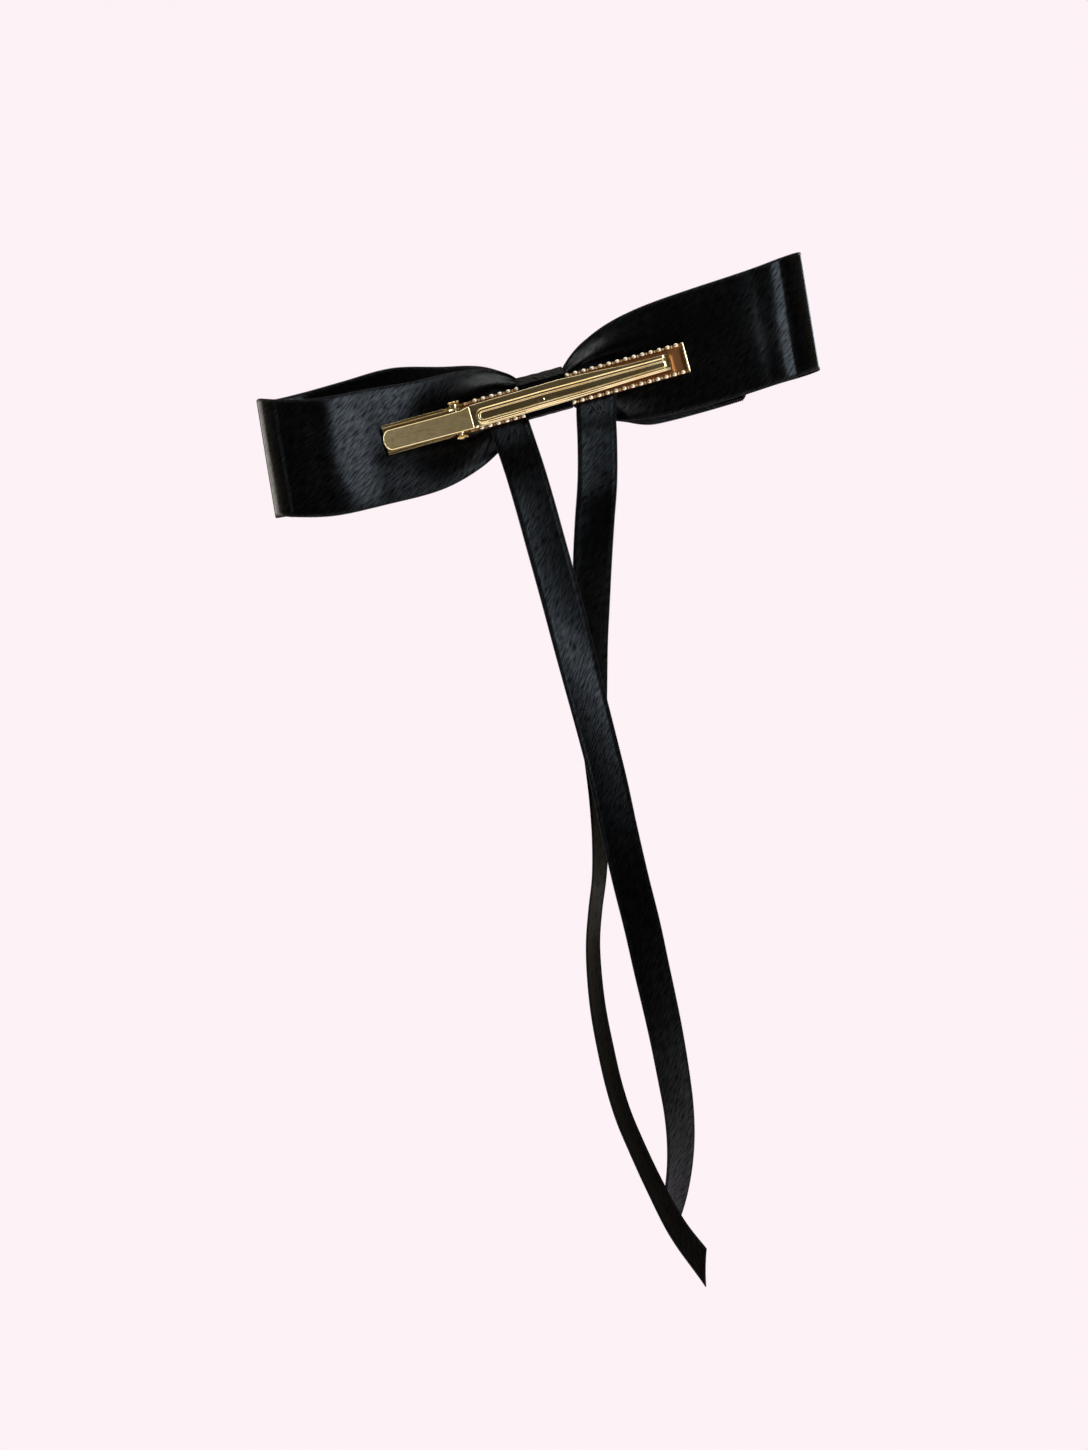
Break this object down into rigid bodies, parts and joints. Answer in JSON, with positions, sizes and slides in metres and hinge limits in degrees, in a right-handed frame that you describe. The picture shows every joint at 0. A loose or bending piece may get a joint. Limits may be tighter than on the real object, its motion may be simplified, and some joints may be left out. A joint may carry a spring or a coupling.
{
  "type": "alligator hair clip",
  "caption": "Spring alligator hair clip in gold-plated steel with a black satin ribbon bow and two hanging ribbon tails.",
  "frame": {"origin": "on the clip's centre line between the jaws, at the middle of the bow, where the hair is gripped", "axes": "+X along the clip from the thumb end to the tip, +Z across the clip towards the bow's upper edge, -Y the side that goes into the hair"},
  "size_m": [0.1106, 0.0223, 0.1828],
  "materials": {
    "gold_plate": "gold-plated stamped steel",
    "spring_steel": "hardened spring steel",
    "black_satin": "black polyester satin ribbon",
    "black_thread": "black sewing thread",
    "pale_thread": "pale sewing thread",
    "hot_glue": "set hot-melt glue"
  },
  "bodies": {
    "clip_and_bow": {"base_jaw": "gold_plate", "hinge_pin": "gold_plate", "leaf_spring": "spring_steel", "bow_ribbon": "black_satin", "binding_thread": "black_thread", "centre_wrap": "black_satin", "tail_left": "black_satin", "tail_right": "black_satin", "glue_bead": "hot_glue", "glue_dab_left": "hot_glue", "glue_dab_right": "hot_glue", "tack_thread": "pale_thread"},
    "lever": {"lever_jaw": "gold_plate"}
  },
  "joints": [
    {"name": "lever_hinge", "type": "hinge", "parent": "clip_and_bow", "child": "lever", "pos_m": [-0.0162, -0.00055, 0], "axis": [0, 0, -1], "range_deg": [0, 26], "stiffness_Nm_per_rad": 0.02, "springref_deg": -28.65, "deforming": ["leaf_spring"]}
  ]
}
